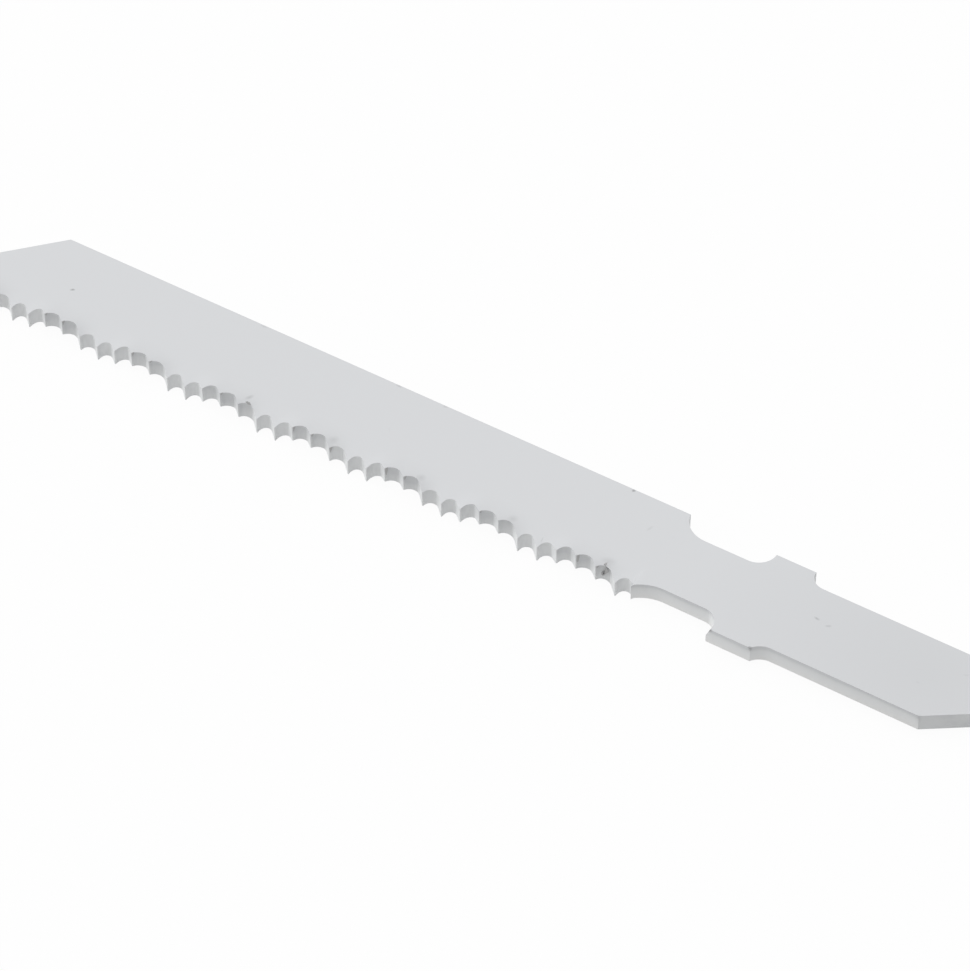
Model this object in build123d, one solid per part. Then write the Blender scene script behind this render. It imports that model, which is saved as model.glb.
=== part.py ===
from build123d import *
import os
from math import acos, atan2, ceil, cos, floor, hypot, radians, sin, tan

# T-shank jigsaw blade for metal: one stamped piece of sheet steel with milled, wavy-set teeth.
# The origin is on the lower face of the shank, in the middle of its two lugs. The blade lies
# flat: +X runs along it from the point to the shank's end, +Y is the side of the spine, -Y the
# side of the teeth, and +Z is its thickness.

# Sheet
thickness = 1.0

# Body: the toothed part of the blade
spine_length = 43.4        # from the shoulder to the spine's front corner
body_width = 6.6           # from the spine to the tooth tips
spine_offset = 3.65        # from the shank's centre line to the spine
point_angle = 50.3         # between the slanted front edge and the spine

# Neck, between the body's shoulder and the lugs
neck_length = 5.6
neck_width = 4.5
shoulder_run = 1.75        # length along the neck of the arc that rises to the shoulder
runout_run = 1.65          # length along the neck of the arc that rises to the last tooth

# Lugs, which the holder of the saw grips from behind
lug_length = 2.5
lug_width = 7.0
lug_front_flat = 0.15      # straight part of a lug's front, past the fillet from the neck
lug_back_run = 0.95        # length along the tail of the arcs that rise to the lugs

# Tail, which slides into the holder
tail_length = 9.95         # from the lugs to the corners of the end
tail_width = 5.5
tail_offset = 0.18         # how far the tail sits towards the toothed side
tail_end_angle = 37.0      # between each slanted edge of the end and the centre line
tail_nose_width = 1.2

# Teeth, milled as round scoops; the cutting faces look towards the shank
pitch = 1.27
gullet_depth = 0.5
root_radius = 0.45
tip_land = 0.05
rake = 14.0                # backward lean of the cutting face
last_tooth_setback = 0.78  # from the shoulder back to the tip of the last whole tooth
last_corner = 0.26         # from the shoulder on to the corner where the toothed edge ends

# Wavy set: the toothed strip snakes up and down out of the sheet
set_each_side = 0.36       # height of the wave at the tooth tips
set_band = 1.9             # from the tooth tips in to the line where the wave starts
wave_length = 6.04
last_crest = 3.18          # from the shoulder back to the last upward crest
steepness = 2.15           # of the slopes between crests and troughs, which it makes flatter
last_trough = 0.33         # depth of the last trough, near the neck
set_end = 0.55             # from the shoulder on to where the strip is flat again

# Torn lip that the punch left on the front corner of the lower lug
lip_length = 0.25
lip_width = 0.5
lip_top = 0.45             # height at which the lip reaches its full length

# Of shapes that cut or bound another
overcut = 0.25             # how far they reach past it

# Places that follow from the sizes
lug_front = -lug_length / 2
lug_back = lug_length / 2
shoulder = lug_front - neck_length
spine_front = shoulder - spine_length
tip_line = spine_offset - body_width
set_line = tip_line + set_band
point_front = spine_front - body_width / tan(radians(point_angle))
tail_corner = lug_back + tail_length
tail_top = tail_width / 2 - tail_offset
tail_bottom = -tail_width / 2 - tail_offset
tail_end = tail_corner + (tail_width - tail_nose_width) / 2 / tan(radians(tail_end_angle))
nose_top = tail_nose_width / 2 - tail_offset
nose_bottom = -tail_nose_width / 2 - tail_offset
front_radius = (lug_width - neck_width) / 2 - lug_front_flat
last_tip = shoulder - last_tooth_setback
root_y = gullet_depth - root_radius
root_x = tip_land + (root_radius + root_y * sin(radians(rake))) / cos(radians(rake))


def lug_front_arc(side):
    """Fillet from the neck's edge up to a lug; side is 1 at the spine, -1 at the teeth."""
    edge = side * neck_width / 2
    start = (lug_front - front_radius, edge)
    end = (lug_front, edge + side * front_radius)
    return TangentArc(start, end, tangent=(1, 0))


def blank_outline():
    """Outline of the punched blank, with a straight edge where the teeth will be milled."""
    top = neck_width / 2
    bottom = -neck_width / 2
    lug = lug_width / 2
    with BuildSketch() as sketch:
        with BuildLine():
            Line((point_front, tip_line), (spine_front, spine_offset))
            Line((spine_front, spine_offset), (shoulder, spine_offset))
            TangentArc((shoulder + shoulder_run, top), (shoulder, spine_offset), tangent=(-1, 0))
            Line((shoulder + shoulder_run, top), (lug_front - front_radius, top))
            lug_front_arc(1)
            Polyline((lug_front, top + front_radius), (lug_front, lug), (lug_back, lug))
            TangentArc((lug_back + lug_back_run, tail_top), (lug_back, lug), tangent=(-1, 0))
            Polyline(
                (lug_back + lug_back_run, tail_top),
                (tail_corner, tail_top),
                (tail_end, nose_top),
                (tail_end, nose_bottom),
                (tail_corner, tail_bottom),
                (lug_back + lug_back_run, tail_bottom),
            )
            TangentArc((lug_back + lug_back_run, tail_bottom), (lug_back, -lug), tangent=(-1, 0))
            Polyline((lug_back, -lug), (lug_front, -lug), (lug_front, bottom - front_radius))
            lug_front_arc(-1)
            runout_end = (shoulder + last_corner + runout_run, bottom)
            Line((lug_front - front_radius, bottom), runout_end)
            TangentArc(runout_end, (shoulder + last_corner, tip_line), tangent=(-1, 0))
            Line((shoulder + last_corner, tip_line), (point_front, tip_line))
        make_face()
    return sketch.sketch


def gullet():
    """One scoop, from a tip at the origin on to the next tip: a circle between two tangent lines."""
    lean = radians(rake)
    face_end = (root_x - root_radius * cos(lean), root_y + root_radius * sin(lean))
    to_next = hypot(pitch - root_x, root_y)
    back_turn = acos(root_radius / to_next) - atan2(root_y, pitch - root_x)
    back_start = (root_x + root_radius * cos(back_turn), root_y + root_radius * sin(back_turn))
    below = -overcut
    with BuildSketch() as sketch:
        with BuildLine():
            Polyline((tip_land, below), (tip_land, 0), face_end)
            ThreePointArc(face_end, (root_x, gullet_depth), back_start)
            Polyline(back_start, (pitch, 0), (pitch, below), (tip_land, below))
        make_face()
    return sketch.sketch


def toothed_outline():
    """The blank's outline with its gullets; the first tooth is clear of the slanted edge."""
    slant_run = gullet_depth / tan(radians(point_angle))
    teeth = floor((last_tip - point_front - slant_run) / pitch)
    scoop = gullet()
    scoops = [Pos(last_tip - i * pitch, tip_line) * scoop for i in range(1, teeth + 2)]
    last_gap = shoulder + last_corner - last_tip
    up_to_corner = Rectangle(last_gap, 2 * gullet_depth, align=(Align.MIN, Align.CENTER))
    last_scoop = Pos(last_tip, tip_line) * (scoop & up_to_corner)
    in_front = Pos(last_tip - (teeth + 1) * pitch + root_x, tip_line) * Rectangle(
        root_x + slant_run + overcut, 2 * gullet_depth, align=(Align.MAX, Align.CENTER)
    )
    return blank_outline() - scoops - last_scoop - in_front


def set_stretch(start, end, start_height, end_height):
    """Stretch of the toothed strip, level along X at both ends, such as from crest to trough."""
    mean = (start_height + end_height) / 2
    steep = (start_height - end_height) / 2 * steepness
    heights = [start_height] * 3 + [mean + steep, mean - steep] + [end_height] * 3
    xs = [start + (end - start) * i / (len(heights) - 1) for i in range(len(heights))]
    reach = set_band + overcut
    rows = [(set_line, 0), (set_line - reach / 2, 0), (set_line - reach, (reach / set_band) ** 2)]
    points = [[(x, y, rise * height) for x, height in zip(xs, heights)] for y, rise in rows]
    return extrude(Face.make_bezier_surface(points), amount=thickness, dir=(0, 0, 1))

def sheet():
    """The sheet that the outline is cut from: flat, with its toothed strip set in waves."""
    half_wave = wave_length / 2
    crest = shoulder - last_crest
    trough = crest + half_wave
    end = shoulder + set_end
    strip = [
        set_stretch(crest, trough, set_each_side, -last_trough),
        set_stretch(trough, end, -last_trough, 0),
    ]
    count = ceil((crest - point_front + overcut) / half_wave)
    for i in range(count):
        height = set_each_side * (-1) ** i
        start = crest - (i + 1) * half_wave
        strip.append(set_stretch(start, start + half_wave, -height, height))
    front = crest - count * half_wave
    half_width = max(spine_offset, lug_width / 2) + overcut
    above = Pos(front, set_line) * Box(
        end - front, half_width - set_line, thickness, align=Align.MIN
    )
    shank = Pos(end, -half_width) * Box(
        tail_end + overcut - end, 2 * half_width, thickness, align=Align.MIN
    )
    return above + shank + strip

def torn_lip():
    """Wedge at the lower lug's front corner, widest at the face that the punch left last."""
    corner = (lug_front, -lug_width / 2)
    profile = Plane(origin=(*corner, 0), x_dir=(1, 0, 0), z_dir=(0, -1, 0)) * Polygon(
        (0, 0), (0, thickness), (-lip_length, lip_top), (-lip_length, 0), align=None
    )
    return extrude(profile, amount=-lip_width)


def blade():
    tall = 2 * (thickness + set_each_side)
    cutter = extrude(toothed_outline(), amount=tall, both=True)
    return (sheet() & cutter) + torn_lip()


os.makedirs("parts", exist_ok=True)
export_step(blade(), "parts/blade.step")
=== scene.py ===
from math import comb, radians

import bmesh
import bpy
from mathutils import Matrix, Vector


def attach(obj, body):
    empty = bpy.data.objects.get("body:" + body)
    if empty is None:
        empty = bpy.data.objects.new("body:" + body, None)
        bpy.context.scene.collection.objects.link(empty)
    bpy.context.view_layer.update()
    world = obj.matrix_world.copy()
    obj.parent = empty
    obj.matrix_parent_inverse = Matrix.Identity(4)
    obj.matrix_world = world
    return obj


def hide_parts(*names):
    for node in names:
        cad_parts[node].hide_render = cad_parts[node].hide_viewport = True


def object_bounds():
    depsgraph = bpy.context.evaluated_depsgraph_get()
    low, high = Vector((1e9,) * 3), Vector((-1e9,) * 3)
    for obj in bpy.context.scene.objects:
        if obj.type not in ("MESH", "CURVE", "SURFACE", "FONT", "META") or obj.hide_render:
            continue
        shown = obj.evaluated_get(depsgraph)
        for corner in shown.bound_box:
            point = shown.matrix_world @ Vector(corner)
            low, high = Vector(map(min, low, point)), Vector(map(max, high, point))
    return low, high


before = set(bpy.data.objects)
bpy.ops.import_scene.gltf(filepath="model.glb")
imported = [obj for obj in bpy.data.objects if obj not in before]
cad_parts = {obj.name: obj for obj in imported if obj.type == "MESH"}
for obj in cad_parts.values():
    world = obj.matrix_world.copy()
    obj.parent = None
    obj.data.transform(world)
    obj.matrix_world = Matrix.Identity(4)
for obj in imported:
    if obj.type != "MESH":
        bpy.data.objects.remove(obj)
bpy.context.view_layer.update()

# The blade: one piece of spring steel, stamped flat, milled along one edge, pressed into waves there
# and blasted to a fine grey. Its mesh is the part's own, pressed flat, its stamped edges eased, and
# set in waves again on a fine grid. The milling has left small dark burrs on the raised teeth.
mm = 0.001
thickness = 1.0 * mm
shoulder = -6.85 * mm
tail_corner = 11.2 * mm
pitch = 1.27 * mm
last_tip = shoulder - 0.78 * mm
milled_depth = 0.55 * mm
set_line = -1.05 * mm
set_band = 1.9 * mm
tip_line = set_line - set_band
set_each_side = 0.36 * mm
half_wave = 3.02 * mm
half_waves = 18
last_crest = shoulder - 3.18 * mm
last_trough_depth = 0.33 * mm
set_end = shoulder + 0.55 * mm
steepness = 2.15
edge_radius = 0.03 * mm
grid_step = 0.3 * mm
fine_step = grid_step / 4
grid_top = set_line + 0.05 * mm
same_point = 0.0001 * mm
touching = 0.001 * mm
sheet_tolerance = 0.04 * mm
flat_angle = radians(0.5)
stamped_angle = radians(40)
crease_angle = radians(35)
level_face = 0.95        # how squarely a face points up or down, of 1
sloped_face = 0.4167

# Where the wave is level, from the neck to the point: how far along, and how high.
stops = [(set_end, 0.0), (last_crest + half_wave, -last_trough_depth)]
for i in range(half_waves):
    stops.append((last_crest - i * half_wave, set_each_side * (-1) ** i))


def wave_height(x):
    """Height of the pressed wave at the tooth tips: a smooth curve, level at each stop."""
    for (right, right_height), (left, left_height) in zip(stops, stops[1:]):
        if left <= x <= right:
            t = (x - left) / (right - left)
            mean = (left_height + right_height) / 2
            steep = (left_height - right_height) / 2 * steepness
            heights = [left_height] * 3 + [mean + steep, mean - steep] + [right_height] * 3
            degree = len(heights) - 1
            return sum(
                comb(degree, k) * t ** k * (1 - t) ** (degree - k) * height
                for k, height in enumerate(heights)
            )
    return 0.0


def set_rise(point):
    """How far the wave lifts a point of the flat sheet."""
    share = max(set_line - point.y, 0) / set_band
    return wave_height(point.x) * share ** 2


blade_mesh = bmesh.new()
blade_mesh.from_mesh(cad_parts["blade"].data)
bmesh.ops.remove_doubles(blade_mesh, verts=blade_mesh.verts, dist=same_point)
for vertex in blade_mesh.verts:
    vertex.co.z -= set_rise(vertex.co)
    for side in (0, thickness):
        if abs(vertex.co.z - side) < sheet_tolerance:
            vertex.co.z = side
bmesh.ops.dissolve_limit(
    blade_mesh,
    angle_limit=flat_angle,
    verts=blade_mesh.verts,
    edges=blade_mesh.edges,
)
rims = [
    edge
    for edge in blade_mesh.edges
    if abs(edge.verts[0].co.z - edge.verts[1].co.z) < touching
    and edge.calc_face_angle(0) > stamped_angle
]
bmesh.ops.bevel(
    blade_mesh,
    geom=rims,
    offset=edge_radius,
    segments=2,
    profile=0.5,
    affect="EDGES",
    material=-1,
    clamp_overlap=True,
)
x = set_end
while x > stops[-1][0]:
    bmesh.ops.bisect_plane(
        blade_mesh,
        geom=blade_mesh.verts[:] + blade_mesh.edges[:] + blade_mesh.faces[:],
        plane_co=(x, 0, 0),
        plane_no=(1, 0, 0),
    )
    x -= grid_step if x < shoulder else fine_step
y = grid_top
while y > tip_line:
    bmesh.ops.bisect_plane(
        blade_mesh,
        geom=blade_mesh.verts[:] + blade_mesh.edges[:] + blade_mesh.faces[:],
        plane_co=(0, y, 0),
        plane_no=(0, 1, 0),
    )
    y -= grid_step
bmesh.ops.remove_doubles(blade_mesh, verts=blade_mesh.verts, dist=touching)
bmesh.ops.triangulate(blade_mesh, faces=blade_mesh.faces)
blade_mesh.normal_update()
for face in blade_mesh.faces:
    face.smooth = True
    face.material_index = 0 if abs(face.normal.z) > level_face else 1
for edge in blade_mesh.edges:
    kinds = {(face.material_index, abs(face.normal.z) > sloped_face) for face in edge.link_faces}
    edge.smooth = len(kinds) == 1 and edge.calc_face_angle(0) < crease_angle

# Two numbers on the mesh for the colour of its cut edges: a level, from 0 at the lower face to 1 at
# the upper one, and a painted highlight, which is 1 on walls that face left towards the lamp, as the
# backs of the teeth do. In the scoops and on the tail's end the level is painted shade instead.
scoop_painted_shade = 0.63
scoop_by_height = 0.2
scoop_shade_by_wave = 0.09
back_painted_lighter = 0.07
tail_end_painted_shade = 0.8
back_starts = 0.2
back_blend = 0.25
painted_highlight_facing_left = blade_mesh.loops.layers.float.new("painted_highlight_facing_left")
height_and_painted_shade = blade_mesh.loops.layers.float.new("height_and_painted_shade")
for face in blade_mesh.faces:
    centre = face.calc_center_median()
    milled = centre.x < shoulder and centre.y < tip_line + milled_depth
    wave = wave_height(centre.x) / set_each_side
    # How squarely a wall faces left, towards the lamp, for its painted highlight.
    facing_left_share = min(max((-face.normal.x - back_starts) / back_blend, 0), 1)
    for corner in face.loops:
        level = corner.vert.co.z / thickness
        # In the scoops the level is painted shade, darker on the raised teeth, with a painted
        # highlight where a back faces the lamp.
        if milled:
            level = scoop_painted_shade + scoop_by_height * level + scoop_shade_by_wave * wave
            level -= back_painted_lighter * facing_left_share
        # The tail's end, facing away from the lamp, gets an even painted shade.
        elif centre.x > tail_corner:
            level = tail_end_painted_shade
        corner[painted_highlight_facing_left] = facing_left_share
        corner[height_and_painted_shade] = level
for vertex in blade_mesh.verts:
    vertex.co.z += set_rise(vertex.co)


def burr(corners):
    """A torn chip of steel between its corners, given in mm."""
    chip = [blade_mesh.verts.new(Vector(corner) * mm) for corner in corners]
    hull = bmesh.ops.convex_hull(blade_mesh, input=chip)
    sides = [part for part in hull["geom"] if isinstance(part, bmesh.types.BMFace)]
    for side in sides:
        side.material_index = 2
    ridges = list(dict.fromkeys(edge for side in sides for edge in side.edges))
    bmesh.ops.subdivide_edges(
        blade_mesh, edges=ridges, cuts=3, fractal=1.2, seed=5, use_grid_fill=True
    )


burr_lengths = {      # down the cutting face, in mm; the tooth at the neck is number 0
    1: 0.2, 2: 0.6, 7: 0.15, 11: 0.3, 12: 0.6, 15: 0.4, 16: 0.2, 17: 0.35,
    21: 0.15, 25: 0.15, 26: 0.25, 30: 0.3, 31: 0.2, 35: 0.2,
}
burr_from_tip = Vector((0.06, 0.03, 0)) * mm
for tooth, length in burr_lengths.items():
    tip = Vector((last_tip - tooth * pitch, tip_line, thickness)) + burr_from_tip
    tip.z += set_rise(tip)
    tip /= mm
    burr((
        tip + Vector((-0.02, -0.01, 0)),
        tip + Vector((0.08, 0.14, 0)),
        tip + Vector((0.05, -0.01, -0.1)),
        tip + Vector((0.01, 0.04, -length)),
    ))
torn_chips = (      # three at tooth 1, and one at tooth 20
    ((-8.71, -2.46, 1.02), (-8.5, -2.5, 0.85), (-8.6, -2.38, 0.98), (-8.46, -2.41, 1.3)),
    ((-8.53, -2.5, 1.02), (-8.26, -2.56, 0.83), (-8.38, -2.66, 0.72), (-8.6, -2.6, 0.36)),
    ((-8.78, -2.6, 0.48), (-8.56, -2.6, 0.71), (-8.55, -2.62, 0.35), (-8.7, -2.45, 0.22)),
    ((-32.9, -2.52, 1.0), (-32.45, -2.46, 0.98), (-32.6, -2.36, 1.04), (-32.75, -2.42, 1.12)),
)
for corners in torn_chips:
    burr(corners)
blade = bpy.data.objects.new("blade_body", bpy.data.meshes.new("blade_body"))
bpy.context.scene.collection.objects.link(blade)
blade_mesh.to_mesh(blade.data)
blade_mesh.free()

marks = {      # x, y, half length, width and depth in mm, turn in degrees, how dark
    "speck near the point": (-47.25, 0.0, 0.2, 0.1, 0.9, 34, 0.5),
    "tick on the body": (-24.68, 0.17, 0.3, 0.06, 0.9, 124, 0.04),
    "scratch near the shoulder": (-8.13, 1.44, 0.32, 0.12, 0.9, 80, 0.1),
    "nick on the spine": (-10.51, 3.55, 0.14, 0.16, 0.4, 0, 0.5),
    "first dash on the spine": (-35.94, 3.55, 0.3, 0.1, 0.4, 0, 0.15),
    "second dash on the spine": (-26.38, 3.57, 0.25, 0.1, 0.4, 0, 0.2),
    "third dash on the spine": (-23.18, 3.56, 0.2, 0.1, 0.4, 0, 0.15),
    "left chip on the tail": (3.08, 0.42, 0.24, 0.1, 0.9, -14, 0.28),
    "right chip on the tail": (3.88, 0.26, 0.22, 0.12, 0.9, 34, 0.2),
    "curl at the end": (11.78, 1.1, 0.25, 0.08, 0.9, 34, 0.07),
    "dot at the end": (9.93, -0.79, 0.15, 0.12, 0.9, 0, 0.05),
    # Painted shade where the wave slopes steeply away from the lamp beside the raised teeth, one at
    # each wave.
    "painted shade at tooth 20": (-32.9, -2.0, 0.4, 0.16, 0.9, 74, 0.2),
    "painted shade at tooth 15": (-26.8, -2.3, 0.45, 0.3, 0.9, 74, 0.12),
    "painted shade at tooth 10": (-20.9, -2.2, 0.4, 0.3, 0.9, 74, 0.13),
    "painted shade at tooth 5": (-14.8, -2.15, 0.4, 0.3, 0.9, 74, 0.12),
    "painted shade at tooth 1": (-8.6, -2.05, 0.5, 0.35, 0.9, 30, 0.12),
    "spike at tooth 4": (-12.68, -2.45, 0.25, 0.06, 0.4, 100, 0.3),
    "torn corner of the lower lug": (-1.28, -3.5, 0.18, 0.14, 0.25, 0, 0.6),
    # Painted shade on the lug's back corner, which faces away from the lamp.
    "painted shade at the back corner of the lower lug": (1.24, -3.5, 0.18, 0.16, 0.3, 0, 0.5),
    "corner of the tail": (11.2, -2.93, 0.16, 0.16, 0.9, 0, 0.12),
    # The steel gets darker towards the end of the tail.
    "darker towards the tail": (10.0, 0.0, 14.0, 12.0, 12.0, 0, 0.063),
}


def grey_steel(name, roughness):
    """A dull steel that has yet to get its colour."""
    material = bpy.data.materials.new(name)
    material.use_nodes = True
    shader = material.node_tree.nodes["Principled BSDF"]
    shader.inputs["Metallic"].default_value = 0.3
    shader.inputs["Roughness"].default_value = roughness
    return material


def wear_and_painted_shade(steel, colour):
    """Gives a steel its colour, darkened at each mark, some of which are painted shade, and the
    marks have ragged rims.
    """
    nodes = steel.node_tree.nodes
    links = steel.node_tree.links
    ragged_rim = 0.1 * mm
    place = nodes.new("ShaderNodeTexCoord")
    grain = nodes.new("ShaderNodeTexNoise")
    grain.inputs["Scale"].default_value = 7000
    links.new(place.outputs["Object"], grain.inputs["Vector"])
    ragged = nodes.new("ShaderNodeVectorMath")
    ragged.operation = "MULTIPLY_ADD"
    ragged.inputs[1].default_value = (ragged_rim, ragged_rim, 0)
    links.new(grain.outputs["Color"], ragged.inputs[0])
    links.new(place.outputs["Object"], ragged.inputs[2])
    for x, y, length, width, depth, angle, dark in marks.values():
        spot = nodes.new("ShaderNodeMapping")
        spot.vector_type = "TEXTURE"
        spot.inputs["Location"].default_value = (
            x * mm + ragged_rim / 2,
            y * mm + ragged_rim / 2,
            thickness,
        )
        spot.inputs["Rotation"].default_value = (0, 0, radians(angle))
        spot.inputs["Scale"].default_value = (length * mm, width * mm, depth * mm)
        links.new(ragged.outputs[0], spot.inputs["Vector"])
        fade = nodes.new("ShaderNodeTexGradient")
        fade.gradient_type = "SPHERICAL"
        links.new(spot.outputs[0], fade.inputs["Vector"])
        brightness = nodes.new("ShaderNodeMath")
        brightness.operation = "MULTIPLY_ADD"
        brightness.inputs[1].default_value = -dark
        brightness.inputs[2].default_value = 1.0
        links.new(fade.outputs["Fac"], brightness.inputs[0])
        marked = nodes.new("ShaderNodeVectorMath")
        marked.operation = "SCALE"
        links.new(colour, marked.inputs[0])
        links.new(brightness.outputs[0], marked.inputs["Scale"])
        colour = marked.outputs[0]
    links.new(colour, nodes["Principled BSDF"].inputs["Base Color"])


blasted_steel = grey_steel("blasted_steel", roughness=0.6)
grey = blasted_steel.node_tree.nodes.new("ShaderNodeRGB")
grey.outputs[0].default_value = (0.69, 0.70, 0.715, 1)
wear_and_painted_shade(blasted_steel, grey.outputs[0])

# Its cut edges: a darker band under the upper rim, which is painted shade, and paler steel below it.
# The scoops of the teeth get painted shade and their backs a painted highlight.
band_raggedness = 0.3
left_painted_highlight = 0.17
cut_steel = grey_steel("cut_steel", roughness=0.6)
nodes = cut_steel.node_tree.nodes
links = cut_steel.node_tree.links
height = nodes.new("ShaderNodeAttribute")
height.attribute_name = "height_and_painted_shade"
place = nodes.new("ShaderNodeTexCoord")
stretch = nodes.new("ShaderNodeMapping")
stretch.inputs["Scale"].default_value = (0.5, 1, 1)
links.new(place.outputs["Object"], stretch.inputs["Vector"])
tear = nodes.new("ShaderNodeTexNoise")
tear.inputs["Scale"].default_value = 800
tear.inputs["Detail"].default_value = 3.0
links.new(stretch.outputs[0], tear.inputs["Vector"])
uneven = nodes.new("ShaderNodeMath")
uneven.operation = "MULTIPLY_ADD"
uneven.inputs[1].default_value = band_raggedness
links.new(tear.outputs["Fac"], uneven.inputs[0])
links.new(height.outputs["Fac"], uneven.inputs[2])
# Pale at the lower face and darker towards the upper rim, with painted shade just under the rim.
bands = nodes.new("ShaderNodeValToRGB")
bands.color_ramp.elements[0].position = 0.1
bands.color_ramp.elements[0].color = (0.765, 0.765, 0.76, 1)
bands.color_ramp.elements[1].position = 1.0
bands.color_ramp.elements[1].color = (0.59, 0.60, 0.61, 1)
for level, colour in (
    (0.6, (0.725, 0.735, 0.74, 1)),
    (0.82, (0.69, 0.70, 0.705, 1)),
    (0.95, (0.635, 0.645, 0.65, 1)),
):
    bands.color_ramp.elements.new(level).color = colour
links.new(uneven.outputs[0], bands.inputs["Fac"])
# A painted highlight on walls that face left, towards the lamp, such as the backs of the teeth.
back = nodes.new("ShaderNodeAttribute")
back.attribute_name = "painted_highlight_facing_left"
shine = nodes.new("ShaderNodeMath")
shine.operation = "MULTIPLY_ADD"
shine.inputs[1].default_value = left_painted_highlight
shine.inputs[2].default_value = 1.0
links.new(back.outputs["Fac"], shine.inputs[0])
bright = nodes.new("ShaderNodeVectorMath")
bright.operation = "SCALE"
links.new(bands.outputs["Color"], bright.inputs[0])
links.new(shine.outputs[0], bright.inputs["Scale"])
wear_and_painted_shade(cut_steel, bright.outputs[0])

burr_steel = grey_steel("burr_steel", roughness=0.7)
burr_shader = burr_steel.node_tree.nodes["Principled BSDF"]
burr_shader.inputs["Base Color"].default_value = (0.45, 0.45, 0.45, 1)
blade.data.materials.append(blasted_steel)
blade.data.materials.append(cut_steel)
blade.data.materials.append(burr_steel)
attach(blade, "root")
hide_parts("blade")

# The floor that the blade lies on: a plain white table. The camera sees it mostly as even white, so
# that it stays white under any lamp, and the rest of it takes the blade's soft shadow.
even_white = 0.95
floor_half_width = 2.0
low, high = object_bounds()
floor_mesh = bmesh.new()
bmesh.ops.create_grid(floor_mesh, x_segments=1, y_segments=1, size=floor_half_width)
bmesh.ops.translate(floor_mesh, verts=floor_mesh.verts, vec=(0, 0, low[2]))
floor = bpy.data.objects.new("floor", bpy.data.meshes.new("floor"))
bpy.context.scene.collection.objects.link(floor)
floor_mesh.to_mesh(floor.data)
floor_mesh.free()
white = bpy.data.materials.new("white_table")
white.use_nodes = True
nodes = white.node_tree.nodes
links = white.node_tree.links
table = nodes["Principled BSDF"]
table.inputs["Base Color"].default_value = (0.85, 0.85, 0.85, 1)
table.inputs["Roughness"].default_value = 1.0
table.inputs["Specular IOR Level"].default_value = 0.0
glow = nodes.new("ShaderNodeEmission")
glow.inputs["Strength"].default_value = 1.0
rays = nodes.new("ShaderNodeLightPath")
seen = nodes.new("ShaderNodeMath")
seen.operation = "MAXIMUM"
links.new(rays.outputs["Is Camera Ray"], seen.inputs[0])
links.new(rays.outputs["Is Glossy Ray"], seen.inputs[1])
seen_through = nodes.new("ShaderNodeMath")
seen_through.operation = "MAXIMUM"
links.new(seen.outputs[0], seen_through.inputs[0])
links.new(rays.outputs["Is Transmission Ray"], seen_through.inputs[1])
share = nodes.new("ShaderNodeMath")
share.operation = "MULTIPLY"
share.inputs[1].default_value = even_white
links.new(seen_through.outputs[0], share.inputs[0])
mix = nodes.new("ShaderNodeMixShader")
links.new(share.outputs[0], mix.inputs[0])
links.new(table.outputs[0], mix.inputs[1])
links.new(glow.outputs[0], mix.inputs[2])
links.new(mix.outputs[0], nodes["Material Output"].inputs["Surface"])
floor.data.materials.append(white)

# Soft light from all round, as in a white tent, and a wide lamp low on the left, which lights the
# backs of the teeth and leaves their scoops in shade.
world = bpy.data.worlds.new("light_tent")
bpy.context.scene.world = world
world.use_nodes = True
nodes = world.node_tree.nodes
links = world.node_tree.links
nodes["Background"].inputs["Color"].default_value = (1, 1, 1, 1)
brightest_side = Vector((-0.2, 0.3, 1.0)).normalized()
place = nodes.new("ShaderNodeTexCoord")
side = nodes.new("ShaderNodeVectorMath")
side.operation = "DOT_PRODUCT"
side.inputs[1].default_value = brightest_side
links.new(place.outputs["Generated"], side.inputs[0])
ramp = nodes.new("ShaderNodeMapRange")
ramp.inputs["From Min"].default_value = -0.1
ramp.inputs["From Max"].default_value = 0.95
ramp.inputs["To Min"].default_value = 0.38
ramp.inputs["To Max"].default_value = 1.13
links.new(side.outputs["Value"], ramp.inputs["Value"])
links.new(ramp.outputs["Result"], nodes["Background"].inputs["Strength"])
lit_point = Vector((-0.02, 0, 0))
lamp_side = Vector((-0.75, -0.5, 0.4)).normalized()
lamp_distance = 0.7
lamp_data = bpy.data.lights.new("left_lamp", "AREA")
lamp_data.shape = "SQUARE"
lamp_data.size = 0.5
lamp_data.energy = 1.1
lamp = bpy.data.objects.new("left_lamp", lamp_data)
bpy.context.scene.collection.objects.link(lamp)
lamp.location = lit_point + lamp_side * lamp_distance
lamp.rotation_euler = lamp_side.to_track_quat("Z", "Y").to_euler()

# The camera, at the photograph's angle: from the toothed side and the right, about 42 degrees above
# the table, with a long lens.
camera_place = Vector((73.35, -136.64, 150.44)) * mm
right = Vector((0.83111, 0.55611, 0)).normalized()
back = Vector((0.41057, -0.61359, 0.67450)).normalized()
up = back.cross(right).normalized()
right = up.cross(back)
turn = Matrix((right, up, back)).transposed()
camera_data = bpy.data.cameras.new("camera")
camera_data.lens = 147.67
camera_data.sensor_width = 36
camera_data.clip_start = 0.01
camera = bpy.data.objects.new("camera", camera_data)
bpy.context.scene.collection.objects.link(camera)
camera.matrix_world = Matrix.Translation(camera_place) @ turn.to_4x4()
bpy.context.scene.camera = camera
bpy.context.scene.view_settings.view_transform = "Standard"
